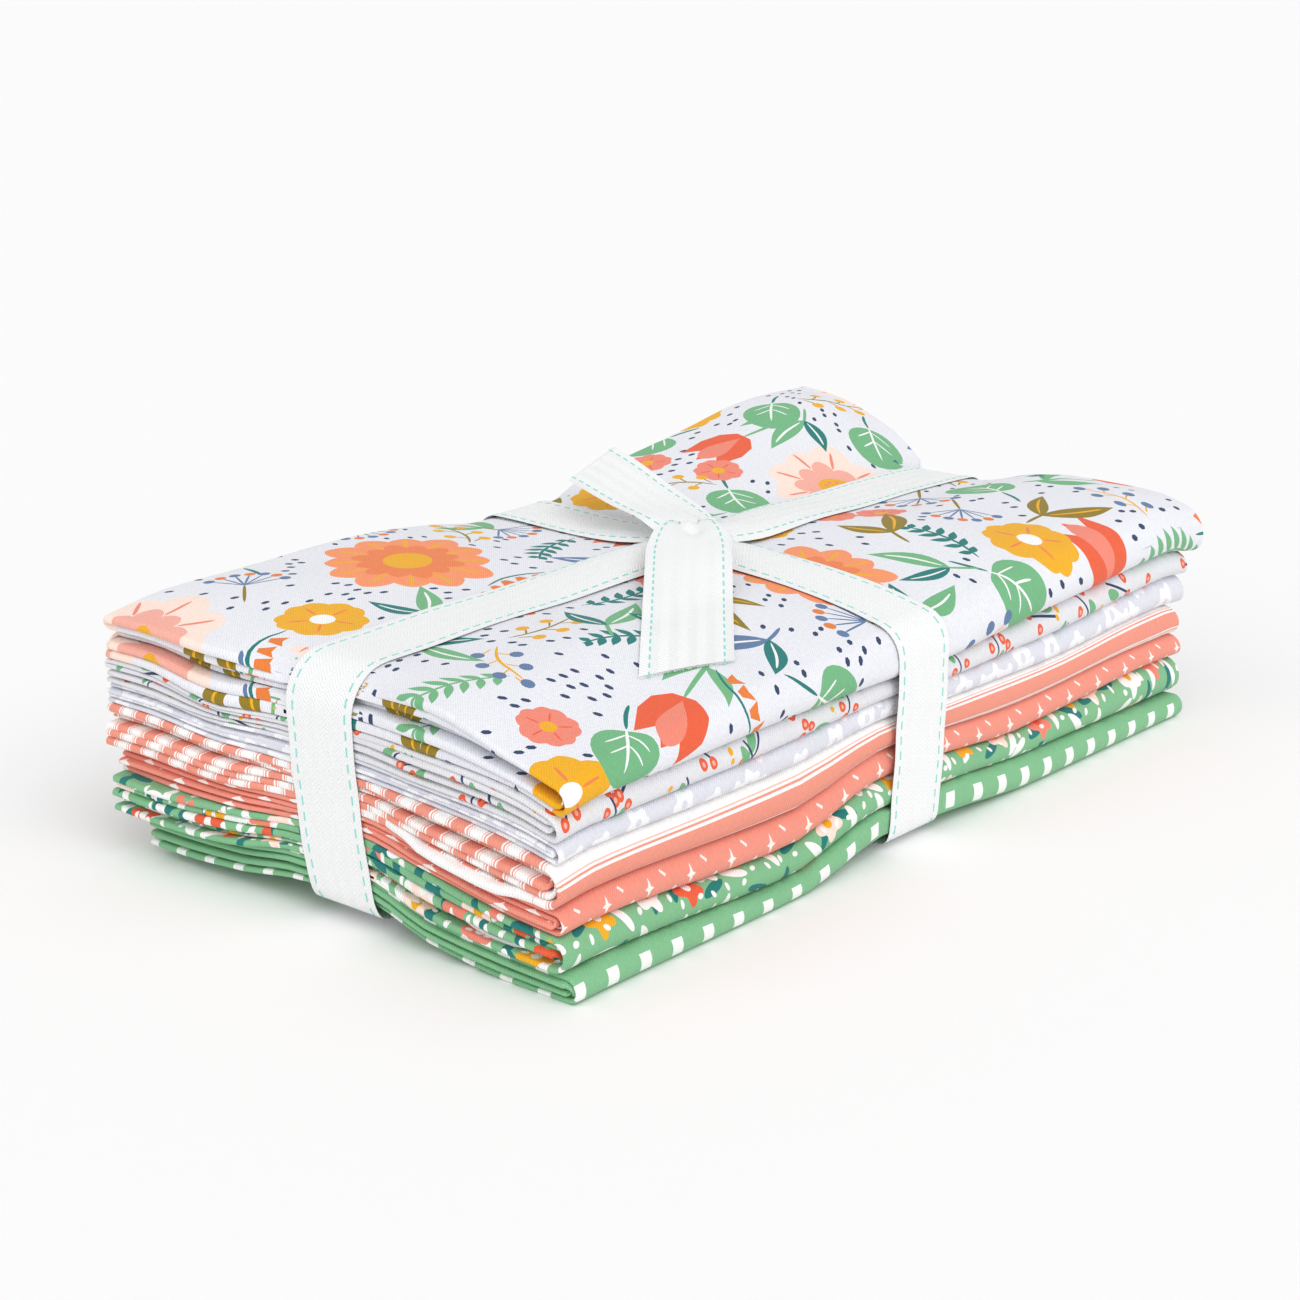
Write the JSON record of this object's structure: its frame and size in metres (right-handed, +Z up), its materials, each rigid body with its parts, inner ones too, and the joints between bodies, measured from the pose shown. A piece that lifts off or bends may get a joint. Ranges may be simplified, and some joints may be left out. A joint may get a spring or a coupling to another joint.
{
  "type": "folded fabric bundle",
  "caption": "Bundle of folded printed cotton cuts, stacked and tied both ways with a flat woven ribbon knotted on top.",
  "frame": {"origin": "on the surface that the bundle rests on, under the middle of its box", "axes": "+X along the long side, +Z up, -Y the front with one smooth fold to each cut, -X the end with the thin folded layers"},
  "size_m": [0.289, 0.156, 0.0832],
  "materials": {
    "cut_1_large_floral": "matte printed cotton",
    "cut_2_berry_sprig": "matte printed cotton",
    "cut_3_soft_bloom": "matte printed cotton",
    "cut_4_stripe": "matte printed cotton",
    "cut_5_star": "matte printed cotton",
    "cut_6_meadow": "matte printed cotton",
    "cut_7_check": "matte printed cotton",
    "ribbon": "woven ribbon with a slight sheen"
  },
  "bodies": {
    "root": {"cut_1_large_floral": "cut_1_large_floral", "cut_2_berry_sprig": "cut_2_berry_sprig", "cut_3_soft_bloom": "cut_3_soft_bloom", "cut_4_stripe": "cut_4_stripe", "cut_5_star": "cut_5_star", "cut_6_meadow": "cut_6_meadow", "cut_7_check": "cut_7_check", "ribbon_long_wrap": "ribbon", "ribbon_short_wrap": "ribbon", "ribbon_knot": "ribbon", "ribbon_tail_front": "ribbon", "ribbon_tail_back": "ribbon"}
  },
  "joints": []
}
